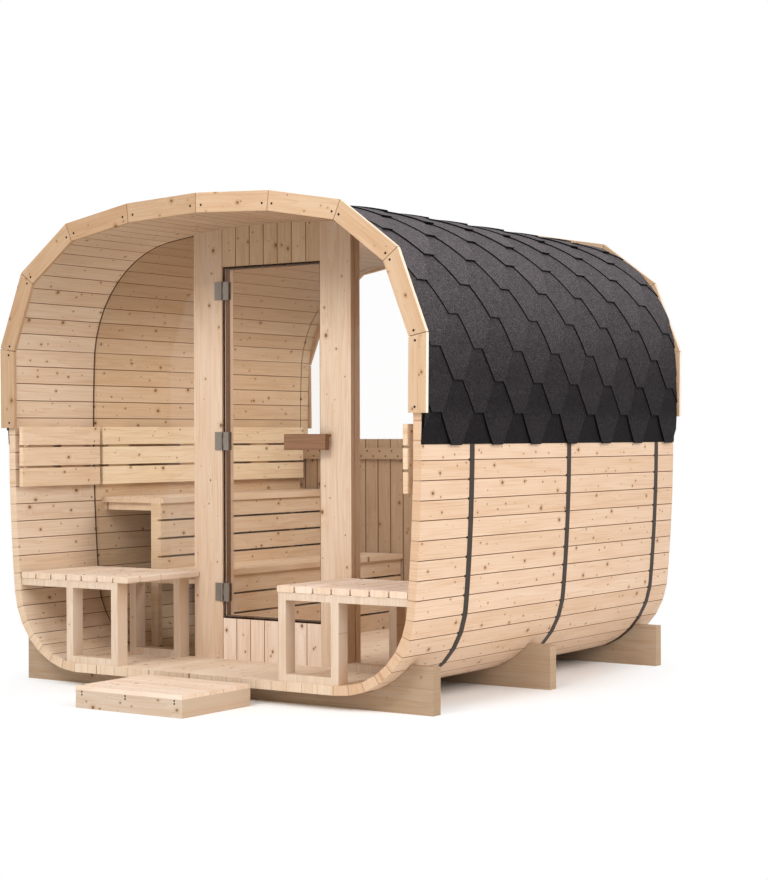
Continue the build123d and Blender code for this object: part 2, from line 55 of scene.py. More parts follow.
class Wire:
    """An output of a material's nodes. Python's operators on it add Math nodes."""

    def __init__(self, finish, socket):
        self.finish = finish
        self.socket = socket

    def math(self, operation, *values):
        return self.finish.node("Math", {"operation": operation}, dict(enumerate(values)))

    def __add__(self, other):
        return self.math("ADD", self, other)

    def __sub__(self, other):
        return self.math("SUBTRACT", self, other)

    def __rsub__(self, other):
        return self.math("SUBTRACT", other, self)

    def __mul__(self, other):
        return self.math("MULTIPLY", self, other)

    def __truediv__(self, other):
        return self.math("DIVIDE", self, other)

    def __pow__(self, other):
        return self.math("POWER", self, other)

    def __abs__(self):
        return self.math("ABSOLUTE", self)

    __radd__ = __add__
    __rmul__ = __mul__

    def floor(self):
        return self.math("FLOOR", self)

    def fraction(self):
        return self.math("FRACT", self)

    def root(self):
        return self.math("SQRT", self)

    def least(self, other):
        return self.math("MINIMUM", self, other)

    def most(self, other):
        return self.math("MAXIMUM", self, other)

    def angle_of(self, other):
        """The angle of the point (other, self)."""
        return self.math("ARCTAN2", self, other)

    def ramp(self, low, high):
        """From 0 at low to 1 at high, with a soft start and end."""
        settings = {"interpolation_type": "SMOOTHSTEP"}
        ends = {"Value": self, "From Min": low, "From Max": high}
        return self.finish.node("MapRange", settings, ends)


class Finish:
    """A material, or the world's light, that is worked out from a piece's own coordinates."""

    def __init__(self, name, world=None):
        self.material = world or bpy.data.materials.new(name)
        self.material.use_nodes = True
        self.tree = self.material.node_tree
        self.tree.nodes.clear()
        self.x, self.y, self.z = self.parts_of(self.node("TexCoord", out="Object"))

    def node(self, kind, settings=None, sockets=None, out=0):
        """Add a node, set it up, then give its sockets their values or links."""
        made = self.tree.nodes.new("ShaderNode" + kind)
        for name, value in (settings or {}).items():
            setattr(made, name, value)
        for key, value in (sockets or {}).items():
            if isinstance(value, Wire):
                self.tree.links.new(value.socket, made.inputs[key])
            else:
                made.inputs[key].default_value = value
        return Wire(self, made.outputs[out])

    def parts_of(self, vector):
        """The three numbers of a vector."""
        split = self.node("SeparateXYZ", sockets={0: vector}).socket.node
        return [Wire(self, output) for output in split.outputs]

    def vector(self, x, y, z):
        return self.node("CombineXYZ", sockets={0: x, 1: y, 2: z})

    def chances(self, *values):
        """Three random numbers that belong to whole numbers."""
        place = self.vector(*values, *[0.0] * (3 - len(values)))
        colour = self.node("TexWhiteNoise", sockets={"Vector": place}, out="Color")
        return self.parts_of(colour)

    def noise(self, x, y, z, detail):
        """Smooth noise about 0, with features one unit apart."""
        sockets = {"Vector": self.vector(x, y, z), "Scale": 1.0, "Detail": detail}
        return self.node("TexNoise", {"noise_dimensions": "3D"}, sockets) - 0.5

    def mix(self, share, first, second):
        """A colour that goes from the first to the second with the share."""
        pair = [value if isinstance(value, Wire) else (*value, 1.0) for value in (first, second)]
        return self.node("Mix", {"data_type": "RGBA"}, {0: share, 6: pair[0], 7: pair[1]}, out=2)

    def tint(self, colour, share, filter_colour):
        """A colour multiplied by another, by a share."""
        settings = {"data_type": "RGBA", "blend_type": "MULTIPLY"}
        start = colour if isinstance(colour, Wire) else (*colour, 1.0)
        return self.node("Mix", settings, {0: share, 6: start, 7: (*filter_colour, 1.0)}, out=2)

    def surface(self, colour, roughness, height=None, depth=0.001, **fixed):
        """End in one Principled shader, with a bump worked out from a height from 0 to 1."""
        sockets = {"Base Color": colour, "Roughness": roughness}
        for name, value in fixed.items():
            sockets[name.replace("_", " ")] = value
        if height is not None:
            bump = {"Strength": 1.0, "Distance": depth, "Height": height}
            sockets["Normal"] = self.node("Bump", sockets=bump)
        self.end_in(self.node("BsdfPrincipled", sockets=sockets))
        return self.material

    def end_in(self, shader, kind="Material"):
        made = self.tree.nodes.new("ShaderNodeOutput" + kind)
        self.tree.links.new(shader.socket, made.inputs["Surface"])

    def knots(self, run, within, board, cover, spacing, smallest, largest):
        """Distance to the nearest knot of a board, in knot radii."""
        margin = 0.2
        spread = 0.8
        lengthwise = 0.8
        cell = (run / spacing).floor()
        along, sideways, size = self.chances(board, cell, spacing * 100)
        middle = (cell + margin + along * (1 - 2 * margin)) * spacing
        aside = within - (sideways - 0.5) * (cover * spread)
        radius = size * size * (largest - smallest) + smallest
        stretch = (run - middle) * lengthwise
        return (stretch * stretch + aside * aside).root() / radius

    def bell(self, distance):
        """1 at a knot's middle, fading out over a few radii."""
        falloff = distance * distance * -0.12
        return falloff.math("EXPONENT", falloff)

    def late_wood(self, run, within, depth, board, heart, pith, swirl):
        """Share of dense late wood in a board's rings, which swirl round its knots."""
        ring_pitch = 0.0052
        nearest_pith = 0.016
        sharpness = 2.5
        wander = self.noise(run * 1.3, within * 14.0, board, 2.0)
        aside = within + (heart - 0.5) * 0.11
        below = depth + nearest_pith + pith * 0.05 + wander * 0.03
        rings = ((aside * aside + below * below).root() + swirl) / ring_pitch
        return rings.fraction() ** sharpness

    def end_grain(self, run):
        """1 on the sawn ends of the boards, where the surface faces along the grain."""
        axes = (self.x, self.y, self.z)
        if run not in axes:
            return 0.0
        normal = self.parts_of(self.node("TexCoord", out="Normal"))
        return abs(normal[axes.index(run)]).ramp(0.6, 0.8)

    def joints(self, colour, within, cover, seam, ends, gap_shadow_share):
        """A painted highlight along the eased lips and a dark line where boards meet, with shares of
        a painted shadow spot at the joint.
        """
        lip_painted_highlight = (1.06, 1.08, 1.10)
        seam_brown = (0.20, 0.085, 0.030)
        gap_painted_shadow = (0.025, 0.012, 0.007)
        edge = abs(within)
        side = cover / 2
        # Painted highlight: the eased lips by each seam are paler.
        lip = edge.ramp(side - seam * 3.2, side - seam * 2.0) * (1 - ends)
        colour = self.tint(colour, lip * 0.8, lip_painted_highlight)
        line = edge.ramp(side - seam * 1.6, side - seam * 0.6) * (1 - ends * 0.4)
        colour = self.mix(line * 0.88, colour, seam_brown)
        # Painted shadow: a dark spot just inside the seam, by the given share.
        gap_shadow = edge.ramp(side - 0.0065, side - 0.0045)
        return self.mix(gap_shadow * gap_shadow_share, colour, gap_painted_shadow)

    def spruce(self, run, across, depth, cover, seed, tone, seam=0.0022, clear=1.0, gap_shadow_share=0.0):
        """Planed spruce: boards side by side, each with its own rings, streaks and knots.
        Clear is how far apart the knots are, and the last argument is the share of a painted shadow
        spot at the joints."""
        board = (across / cover).floor()
        within = across - (board + 0.5) * cover
        chance, heart, pith = self.chances(board, seed)
        grain = run + chance * 37.0

        big = self.knots(grain, within, board, cover, 0.27 * clear, 0.0018, 0.0085)
        small = self.knots(grain, within, board + 0.5, cover, 0.12 * clear, 0.0007, 0.0045)
        nearest = big.least(small)
        swirl = self.bell(big) * 0.011 + self.bell(small) * 0.005
        late = self.late_wood(grain, within, depth, board, heart, pith, swirl)
        streaks = self.noise(grain * 2.2, within * 190.0, board, 4.0)
        clouds = self.noise(grain * 3.0, within * 22.0, board + 9.0, 2.0)

        darker_board = (0.93, 0.89, 0.84)
        cloud_shade = (0.94, 0.88, 0.82)
        streak_shade = (0.89, 0.81, 0.72)
        late_shade = (0.84, 0.73, 0.61)
        halo_shade = (0.80, 0.68, 0.56)
        knot_brown = (0.17, 0.09, 0.045)
        sawn_shade = (0.97, 0.95, 0.92)
        sawn_ring_shade = (0.84, 0.74, 0.62)
        colour = self.tint(tone, chance, darker_board)
        colour = self.tint(colour, (clouds + 0.15).ramp(0.0, 0.5), cloud_shade)
        colour = self.tint(colour, (streaks + 0.05).ramp(0.0, 0.30), streak_shade)
        colour = self.tint(colour, late * 0.42, late_shade)
        halo = 1 - nearest.ramp(0.9, 3.0)
        colour = self.tint(colour, halo * 0.7, halo_shade)
        core = 1 - nearest.ramp(0.65, 1.15)
        colour = self.mix(core * 0.94, colour, knot_brown)
        ends = self.end_grain(run)
        colour = self.tint(colour, ends, sawn_shade)
        colour = self.tint(colour, late * ends, sawn_ring_shade)
        if seam:
            colour = self.joints(colour, within, cover, seam, ends, gap_shadow_share)

        height = (1 - late) * 0.35 + streaks * 0.3 + core * 0.25
        roughness = 0.62 - late * 0.12 + streaks * 0.1
        return self.surface(colour, roughness, height, 0.0006, Specular_IOR_Level=0.2)


def dress(name, material):
    """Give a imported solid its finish."""
    slots = nodes[name].data.materials
    slots.clear()
    slots.append(material)


cradle_grain_width = 0.30
cradle_grain_start = -0.03
# The front cradle gets a darker tone than the others: painted shade from the shell over it.
front_cradle_painted_shade_tone = (0.44, 0.325, 0.225)
cradle_tone = (0.55, 0.43, 0.32)
for number, name in enumerate(("cradle_front", "cradle_middle", "cradle_rear")):
    tone = cradle_tone if number else front_cradle_painted_shade_tone
    finish = Finish(name)
    grain = (finish.x, finish.z - cradle_grain_start, finish.y, cradle_grain_width)
    dress(name, finish.spruce(*grain, seed=number + 3.0, seam=0, tone=tone))

# Shell
# Tongue-and-groove spruce staves run from the porch to the rear. They are cut flat and follow an
# outline of a flat floor and four arcs a side, and the bands pull them together.
side_radius = 8.7
roof_radius = 4.5
corner_radius = 0.42
shoulder_radius = 0.66
widest_height = 1.25
half_width = 1.237
stave_cover = 0.087
stave_thickness = 0.042
first_joint = -0.015
shell_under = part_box("floor_staves")[0].z
shell_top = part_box("roof_staves")[1].z
shell_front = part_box("floor_staves")[0].y
shell_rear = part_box("floor_staves")[1].y


def meeting(first, first_radius, second, second_radius):
    """The right-hand meeting point of two circles."""
    line = second - first
    foot = (first_radius**2 - second_radius**2 + line.length_squared) / (2 * line.length)
    rise = sqrt(first_radius**2 - foot**2)
    axis = line.normalized()
    across = Vector((-axis.y, axis.x))
    return max((first + axis * foot + across * rise * turn for turn in (1, -1)), key=lambda p: p.x)


def heading(start, end):
    return atan2(end.y - start.y, end.x - start.x)


side_centre = Vector((half_width - side_radius, widest_height))
roof_centre = Vector((0.0, shell_top - roof_radius))
corner_rise = shell_under + corner_radius
corner_out = sqrt((side_radius - corner_radius) ** 2 - (corner_rise - widest_height) ** 2)
corner_centre = Vector((side_centre.x + corner_out, corner_rise))
shoulder_centre = meeting(
    side_centre, side_radius - shoulder_radius, roof_centre, roof_radius - shoulder_radius
)
turns = [
    -pi / 2,
    heading(side_centre, corner_centre),
    heading(side_centre, shoulder_centre),
    heading(roof_centre, shoulder_centre),
    pi / 2,
]

# Each arc: its centre, radius, first angle, and the way round the shell to its start.
arcs = []
reached = corner_centre.x
for centre, radius, start, end in (
    (corner_centre, corner_radius, turns[0], turns[1]),
    (side_centre, side_radius, turns[1], turns[2]),
    (shoulder_centre, shoulder_radius, turns[2], turns[3]),
    (roof_centre, roof_radius, turns[3], turns[4]),
):
    arcs.append((centre, radius, start, reached))
    reached += radius * (end - start)
half_outline = reached
stave_step = 2 * half_outline / round(2 * half_outline / stave_cover)

band_sides = sorted({round(vert.co.y, 3) for vert in nodes["steel_bands"].data.vertices})
band_fronts = band_sides[::2]
# How far in front of each band the painted shadow spots at the joints lie.
gap_shadow_reach = 0.004
stave_seed = 10.0
floor_tone = (0.86, 0.735, 0.61)


def shell_tone_with_painted_light(finish, inner):
    """The shell's tone with painted light and shade: paler on the left side, seen in shade, deeper
    on the right; darker towards the roof, and darker and warmer in the room, most up under its roof.
    """
    room_front = -0.59
    # Painted light and shade: a paler tone for the left side, seen in shade, and a deeper one for
    # the right.
    tone = finish.mix(finish.x.ramp(-1.0, 1.0), (0.80, 0.655, 0.515), (0.775, 0.58, 0.43))
    # Painted shade, darker towards the roof.
    tone = finish.tint(tone, finish.z.ramp(1.40, 2.25), (0.72, 0.69, 0.65))
    # Painted shade in the room: warmer and darker inside it, most of all up under its roof.
    inside = finish.y.ramp(room_front - 0.01, room_front + 0.01) * inner
    tone = finish.tint(tone, inside, (0.99, 0.93, 0.82))
    return finish.tint(tone, inside * finish.z.ramp(1.45, 2.05), (0.62, 0.58, 0.54))


def stave_finish(name, arc, mirrored):
    """Spruce whose boards are counted anticlockwise from the floor's first joint, with a painted
    shadow spot at each outer joint just in front of each band."""
    centre, radius, start, before = arc
    finish = Finish(name)
    out = finish.x * (-1 if mirrored else 1) - centre.x
    up = finish.z - centre.y
    around = up.angle_of(out) * radius + (before - start * radius)
    if mirrored:
        around = 2 * half_outline - around
    depth = radius - (out * out + up * up).root()
    inner = depth.ramp(stave_thickness - 0.012, stave_thickness - 0.008)
    # Painted shadow at each outer joint just in front of each band.
    beside = 0.0
    for front in band_fronts:
        distance = abs(finish.y - (front - gap_shadow_reach))
        beside = (1 - distance.ramp(gap_shadow_reach, 2 * gap_shadow_reach)) + beside
    grain = (finish.y, around - first_joint, depth, stave_step)
    tone = shell_tone_with_painted_light(finish, inner)
    return finish.spruce(*grain, seed=stave_seed, tone=tone, gap_shadow_share=beside * (1 - inner))


for name, arc in zip(("corner", "side", "shoulder"), arcs):
    for side, mirrored in (("right", False), ("left", True)):
        staves = f"{side}_{name}_staves"
        dress(staves, stave_finish(staves, arc, mirrored))
finish = Finish("roof_staves")
around = half_outline - finish.x.angle_of(finish.z - roof_centre.y) * roof_radius
grain = (finish.y, around - first_joint, finish.z, stave_step)
dress("roof_staves", finish.spruce(*grain, seed=stave_seed, tone=shell_tone_with_painted_light(finish, 1.0)))
finish = Finish("floor_staves")
around = finish.x + 2 * half_outline
grain = (finish.y, around - first_joint, finish.z, stave_step)
dress("floor_staves", finish.spruce(*grain, seed=stave_seed, seam=0.0012, tone=floor_tone))

# Steel bands
# Three coated steel straps pull the staves together. Each runs from one edge of the roof covering
# down under the floor and up to the other edge.
coating_dark = (0.042, 0.029, 0.022)
coating_worn = (0.068, 0.049, 0.038)
finish = Finish("steel_bands")
wear = finish.noise(finish.x * 60, finish.y * 60, finish.z * 60, 4.0)
colour = finish.mix((wear + 0.1).ramp(0.0, 0.5), coating_dark, coating_worn)
matt = 0.5 + wear * 0.2
dress("steel_bands", finish.surface(colour, matt, wear, 0.0003, Specular_IOR_Level=0.2))

# Roof shingles
# Strips of bitumen shingle with hexagonal tabs cover both halves of the roof in fourteen courses,
# each course over the one below by half its height. Folded caps close the ridge.
first_course = 2.130
course_height = 0.1435
courses = 14
course_rise = 0.0140
course_fall = 0.0064
tab_pitch = 0.350
tab_foot = 0.085
tab_slope = (tab_pitch - 2 * tab_foot) / 2
tab_sway = 0.001
even_row_middle = -0.9075
sheet_thickness = 0.0060
deck_start = 0.02
deck_run = 0.18
deck_low = 0.002
deck_growth = 0.013
felt_lift = 0.0008
cap_width = 0.24
cap_length = 0.34
cap_pitch = 0.22
cap_lift = 0.024
cap_fall = 0.006


def on_shell(around, lift):
    """Place beside the shell at a distance round the right half from the floor's middle."""
    for centre, radius, start, before in reversed(arcs):
        if around >= before:
            turn = start + (around - before) / radius
            return centre + Vector((cos(turn), sin(turn))) * (radius + lift)
    return Vector((around, shell_under - lift))


def deck(around):
    """Height of the roof over the staves: it thickens above its lower edge."""
    share = min(max((around - first_course - deck_start) / deck_run, 0.0), 1.0)
    return deck_low + deck_growth * share * share * (3 - 2 * share)


def new_grid(mesh, columns, rows):
    """A flat grid of one by one, and its corners."""
    before = set(mesh.verts)
    bmesh.ops.create_grid(mesh, x_segments=columns, y_segments=rows, size=0.5)
    return [vert for vert in mesh.verts if vert not in before]


def shingle_course(mesh, number, shade, cover):
    """One course of tabs, bent to the shell's outline and running past its two ends, where the
    sheets are cut later.
    """
    foot = first_course + number * course_height
    middle = even_row_middle + (0 if number % 2 == 0 else tab_pitch / 2) - 2 * tab_pitch
    head = min(foot + 2.0 * course_height, half_outline - 0.004)
    while middle - tab_pitch < shell_rear:
        tone = random.random()
        sway = random.uniform(-tab_sway, tab_sway)
        for vert in new_grid(mesh, 2, 10):
            up = (vert.co.y + 0.5) * (head - foot)
            half = tab_foot / 2 + tab_slope * min(up / course_height, 1.0)
            if up > course_height + 0.001:
                half = tab_pitch / 2
            reach = min(up / course_height, 2.0)
            lift = deck(foot + up) + course_rise - course_fall * reach + sway
            place = on_shell(foot + up, lift)
            vert.co = Vector((place.x, middle + vert.co.x * 2 * half, place.y))
            vert[shade] = tone
            vert[cover] = reach
        middle += tab_pitch


def granules(name, share, dark, pale):
    """Mineral granules pressed into bitumen, with a tone of its own for each tab. A painted sheen
    makes the crown paler, and on the low courses painted shadow darkens each tab towards the next
    course's tabs above it."""
    crown_painted_sheen = (5.4, 5.5, 5.5)
    cloudy = (0.80, 0.79, 0.80)
    under_tab_painted_shadow = (0.52, 0.51, 0.52)
    finish = Finish(name)
    tone = finish.node("Attribute", {"attribute_name": "tone"}, out="Fac")
    reach = finish.node("Attribute", {"attribute_name": "reach"}, out="Fac")
    fine = finish.noise(finish.x * 190, finish.y * 190, finish.z * 190, 4.0)
    coarse = finish.noise(finish.x * 30, finish.y * 30, finish.z * 30, 3.0)
    colour = finish.mix(tone, dark, [value * 1.3 for value in dark])
    colour = finish.mix((fine + 0.06).ramp(0.0, 0.22) * share, colour, pale)
    # Painted sheen: the crown of the roof is paler.
    colour = finish.tint(colour, finish.z.ramp(1.30, 2.36), crown_painted_sheen)
    colour = finish.tint(colour, (coarse + 0.1).ramp(0.0, 0.4), cloudy)
    # Painted shadow under the next course's tabs, fading on the higher courses.
    under_tab_shadow = reach.ramp(0.55, 1.5) * (1 - finish.z.ramp(1.25, 1.75) * 0.75)
    colour = finish.tint(colour, under_tab_shadow, under_tab_painted_shadow)
    return finish.surface(colour, 0.88, fine, 0.0012, Specular_IOR_Level=0.15)


def mesh_piece(name, mesh, *materials):
    """An object at the origin from a finished bmesh."""
    data = bpy.data.meshes.new(name)
    mesh.to_mesh(data)
    mesh.free()
    for material in materials:
        data.materials.append(material)
    piece = bpy.data.objects.new(name, data)
    bpy.context.scene.collection.objects.link(piece)
    return piece


def cut_and_thicken(mesh):
    """Trim sheets at the shell's two ends, then give them their thickness and black edges."""
    for end, direction in ((shell_front, -1), (shell_rear, 1)):
        everything = mesh.verts[:] + mesh.edges[:] + mesh.faces[:]
        plane = {"plane_co": (0, end, 0), "plane_no": (0, direction, 0)}
        bmesh.ops.bisect_plane(mesh, geom=everything, clear_outer=True, **plane)
    bmesh.ops.recalc_face_normals(mesh, faces=mesh.faces[:])
    for face in mesh.faces:
        outward = Vector((face.calc_center_median().x, 0, 1.0))
        if face.normal.dot(outward) < 0:
            face.normal_flip()
    bmesh.ops.solidify(mesh, geom=mesh.faces[:], thickness=sheet_thickness)
    for face in mesh.faces:
        shortest = min(edge.calc_length() for edge in face.edges)
        face.material_index = 1 if shortest < 1.3 * sheet_thickness else 0


shingle_face = granules("shingle_face", 0.7, (0.0130, 0.0107, 0.0112), (0.052, 0.047, 0.049))
# The tabs' edges: the bitumen's own black, made darker still as painted shade for the shadow under
# each tab.
shingle_edge = granules("shingle_edge", 0.0, (0.001, 0.001, 0.001), (0.001, 0.001, 0.001))


def shingles(name, turn):
    """All the courses of one half of the roof, and the felt under the lowest."""
    mesh = bmesh.new()
    shade = mesh.verts.layers.float.new("tone")
    cover = mesh.verts.layers.float.new("reach")
    for number in range(courses):
        shingle_course(mesh, number, shade, cover)
    length = shell_rear - shell_front
    for vert in new_grid(mesh, 2, 24):
        around = first_course + 0.004 + (vert.co.y + 0.5) * (half_outline - first_course - 0.01)
        place = on_shell(around, deck(around) + felt_lift)
        vert.co = Vector((place.x, shell_front + (vert.co.x + 0.5) * length, place.y))
        vert[shade] = 0.3
        vert[cover] = 2.0
    cut_and_thicken(mesh)
    if turn < 0:
        bmesh.ops.scale(mesh, vec=(-1, 1, 1), verts=mesh.verts[:])
        bmesh.ops.reverse_faces(mesh, faces=mesh.faces[:])
    return mesh_piece(name, mesh, shingle_face, shingle_edge)


random.seed(7)
for side, turn in (("right", 1), ("left", -1)):
    half = shingles(f"{side}_shingles", turn)
    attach(half, "root")
    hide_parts(f"{side}_roof_covering")

mesh = bmesh.new()
shade = mesh.verts.layers.float.new("tone")
start = shell_front
while start < shell_rear:
    tone = random.random()
    for vert in new_grid(mesh, 6, 2):
        aside = vert.co.x * cap_width
        place = on_shell(half_outline - abs(aside), 0.0)
        rise = cap_lift + cap_fall * (0.5 - vert.co.y)
        sides = place.x if aside > 0 else -place.x
        vert.co = Vector((sides, start + (vert.co.y + 0.5) * cap_length, place.y + rise))
        vert[shade] = tone
    start += cap_pitch
cut_and_thicken(mesh)
caps = mesh_piece("ridge_caps", mesh, shingle_face, shingle_edge)
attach(caps, "root")

# Fascia boards
# Straight spruce boards with mitred ends trim the front and rear edges of the roof. A screw near
# each end holds them to the staves.
fascia_thickness = 0.02
fascia_cover = 0.12
fascia_bevel = 0.0012
fascia_gap = 0.0010
fascia_middle_height = 1.2
# The left boards get a darker tone and the right ones a paler: painted shade and light, as the key
# lamp falls on the right.
fascia_painted_light_tones = {"left": (0.515, 0.35, 0.220), "right": (0.64, 0.455, 0.305)}
fascia_edge_painted_highlight = (0.93, 0.85, 0.75)
fascia_screw_inset = 0.034
fascia_screw_drop = 0.012
fascia_screw_radius = 0.0064
screw_head_height = 0.0016


def boards_of(name):
    """A copy of a solid of separate boards, with eased edges and a map along each board's grain.
    It comes with each board's middle, its axis, the way across it and half its length."""
    mesh = bmesh.new()
    mesh.from_mesh(nodes[name].data)
    bmesh.ops.remove_doubles(mesh, verts=mesh.verts[:], dist=1e-5)
    whole = {"verts": mesh.verts[:], "edges": mesh.edges[:]}
    bmesh.ops.dissolve_limit(mesh, angle_limit=radians(2), **whole)
    for face in mesh.faces:
        mitre = abs(face.normal.y) < 0.1 and face.calc_area() < 0.006
        if mitre:
            bmesh.ops.translate(mesh, vec=face.normal * -fascia_gap, verts=face.verts[:])
    shape = {"offset": fascia_bevel, "segments": 2, "profile": 0.5, "affect": "EDGES"}
    bmesh.ops.bevel(mesh, geom=mesh.edges[:], material=-1, **shape)
    layer = mesh.loops.layers.uv.new("grain")
    mesh.faces.index_update()
    placed = set()
    boards = []
    for first in mesh.faces:
        if first in placed:
            continue
        board = {first}
        rim = [first]
        while rim:
            for near in {face for edge in rim.pop().edges for face in edge.link_faces} - board:
                board.add(near)
                rim.append(near)
        placed |= board
        board = sorted(board, key=lambda face: face.index)
        corners = list(dict.fromkeys(vert for face in board for vert in face.verts))
        edges = (edge for face in board for edge in face.edges)
        longest = max(edges, key=lambda edge: edge.calc_length())
        axis = (longest.verts[1].co - longest.verts[0].co).normalized()
        if axis.x + axis.z < 0:
            axis = -axis
        aside = axis.cross(Vector((0, 1, 0)))
        middle = sum((vert.co for vert in corners), Vector()) / len(corners)
        number = len(boards)
        for face in board:
            for loop in face.loops:
                offset = loop.vert.co - middle
                across = offset.dot(aside) + (number + 0.5) * fascia_cover
                loop[layer].uv = (offset.dot(axis) + number * 1.7, across)
        reach = max((vert.co - middle).dot(axis) for vert in corners)
        boards.append((middle, axis, aside, reach))
    return mesh, boards


def mapped_spruce(name, seed, tone):
    """Spruce on boards that carry their own map, with a painted highlight on the edge faces that
    look outward.
    """
    finish = Finish(name)
    along, across = finish.parts_of(finish.node("UVMap", {"uv_map": "grain"}))[:2]
    facing = finish.parts_of(finish.node("TexCoord", out="Normal"))
    outward = facing[0] * finish.x + facing[2] * (finish.z - fascia_middle_height)
    # Painted highlight: the edge faces that look outward are paler.
    shade = finish.mix(outward.ramp(0.4, 0.8), tone, fascia_edge_painted_highlight)
    return finish.spruce(along, across, finish.y, fascia_cover, seed=seed, seam=0, tone=shade)


finish = Finish("screw_metal")
screw_metal = finish.surface((0.022, 0.014, 0.010, 1.0), 0.6, Specular_IOR_Level=0.15)


def screws(name, places, facing, radius):
    """Round screw heads that stand a hair proud of a surface and all face one way."""
    mesh = bmesh.new()
    turn = Vector(facing).to_track_quat("Z", "Y").to_matrix().to_4x4()
    size = {"radius1": radius, "radius2": radius * 0.85, "depth": screw_head_height}
    for place in places:
        where = Matrix.Translation(place) @ turn
        bmesh.ops.create_cone(mesh, segments=12, cap_ends=True, matrix=where, **size)
    piece = mesh_piece(name, mesh, screw_metal)
    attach(piece, "root")


for end, face, way in (
    ("front", shell_front - fascia_thickness, -1),
    ("rear", shell_rear + fascia_thickness, 1),
):
    places = []
    for number, side in enumerate(("left", "right")):
        name = f"{end}_fascia_{side}"
        mesh, boards = boards_of(name)
        wood = mapped_spruce(f"{name}_spruce", 50.0 + number, fascia_painted_light_tones[side])
        piece = mesh_piece(f"{name}_boards", mesh, wood)
        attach(piece, "root")
        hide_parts(name)
        for middle, axis, aside, reach in boards:
            centre = Vector((0, middle.y, fascia_middle_height)) - middle
            inward = aside if aside.dot(centre) > 0 else -aside
            for turn in (1, -1):
                place = middle + axis * turn * (reach - fascia_screw_inset)
                place += inward * fascia_screw_drop
                places.append((place.x, face, place.z))
    screws(f"{end}_fascia_screws", places, (0, way, 0), fascia_screw_radius)

# Door posts
# Two laminated spruce posts stand in the shell, one each side of the doorway. The left one
# carries the hinges, and the right one the catch.
post_tones = {"left_door_post": (0.73, 0.57, 0.435), "right_door_post": (0.80, 0.65, 0.52)}
post_play = 0.005
post_top_painted_shadow = (0.76, 0.72, 0.68)
for number, (name, tone) in enumerate(post_tones.items()):
    finish = Finish(name)
    low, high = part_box(name)
    width = high.x - low.x + 2 * post_play
    grain = (finish.z, finish.x - low.x + post_play, finish.y, width)
    # Painted shadow of the roof: the posts darken towards their tops.
    tone = finish.tint(tone, finish.z.ramp(1.60, 2.25), post_top_painted_shadow)
    dress(name, finish.spruce(*grain, seed=60.0 + number, seam=0, tone=tone, clear=0.8))

# Header and sill
# Upright tongue-and-groove boards of bare spruce close the wall over and under the doorway.
# They stand between the posts, under the roof and on the floor.
wall_boards = 7
# The header's dark tone is painted shade under the roof's edge.
for name, tone in (("door_header", (0.53, 0.39, 0.26)), ("door_sill", (0.89, 0.755, 0.65))):
    low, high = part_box(name)
    finish = Finish(name)
    grain = (finish.z, finish.x - low.x, finish.y, (high.x - low.x) / wall_boards)
    dress(name, finish.spruce(*grain, seed=70.0, tone=tone))

# Panes
# Clear toughened glass stands in grooves of the staves beside the doorway and over the rear
# boards. A dark seal closes the joint between each side pane and the staves.
pane_tone = (0.998, 0.999, 0.999)
pane_gloss = 0.2
pane_seal = 0.003
pane_seal_lead = 0.004
pane_seal_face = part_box("left_side_glass")[0].y - pane_seal_lead
pane_seal_start = -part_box("left_door_post")[0].x
pane_seal_inset = stave_thickness + 0.0005


def clear_glass(name, tone, gloss):
    """Thin clear glass: a faint tint, with a reflection that grows at a slant. Only the camera
    sees the reflection, so that light passes."""
    finish = Finish(name)
    bend = finish.node("Fresnel", sockets={"IOR": 1.45})
    lit = finish.node("LightPath", out="Is Camera Ray")
    clear = finish.node("BsdfTransparent", sockets={"Color": (*tone, 1.0)})
    shine = finish.node("BsdfGlossy", sockets={"Color": (1, 1, 1, 1), "Roughness": 0.02})
    finish.end_in(finish.node("MixShader", sockets={0: bend * lit * gloss, 1: clear, 2: shine}))
    return finish.material


pane_glass = clear_glass("pane_glass", pane_tone, pane_gloss)
for name in ("left_side_glass", "right_side_glass", "rear_glass"):
    dress(name, pane_glass)

finish = Finish("pane_seal")
seal_rubber = finish.surface((0.075, 0.036, 0.018, 1.0), 0.8, Specular_IOR_Level=0.05)
for side, turn in (("right", 1), ("left", -1)):
    mesh = bmesh.new()
    for vert in new_grid(mesh, 1, 90):
        share = vert.co.y + 0.5
        around = pane_seal_start + (half_outline - 2 * pane_seal_start) * share
        place = on_shell(around, -pane_seal_inset - pane_seal)
        face = pane_seal_face + (vert.co.x + 0.5) * pane_seal
        vert.co = Vector((place.x * turn, face, place.y))
    bmesh.ops.recalc_face_normals(mesh, faces=mesh.faces[:])
    bmesh.ops.solidify(mesh, geom=mesh.faces[:], thickness=pane_seal)
    seal = mesh_piece(f"{side}_pane_seal", mesh, seal_rubber)
    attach(seal, "root")

# Door
# One sheet of toughened glass on three hinges, with wooden handles outside and inside. It shuts
# against a rebate with a brown lining and a near black seal, partly its rubber and partly painted
# shade for the gap round the leaf.
door_gap = 0.005
stop = 0.012
stop_setback = 0.015
stop_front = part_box("left_door_post")[0].y + stop_setback
doorway_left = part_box("left_door_post")[1].x - stop
doorway_right = -doorway_left
doorway_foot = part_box("door_glass")[0].z - door_gap
doorway_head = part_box("door_glass")[1].z + door_gap
seal_play = 0.0012
seal_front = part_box("door_glass")[1].y + seal_play
seal_width = 0.009
lining_depth = 0.034
lining_sheet = 0.0015

dress("door_glass", clear_glass("door_leaf_glass", (0.980, 0.965, 0.945), 0.15))

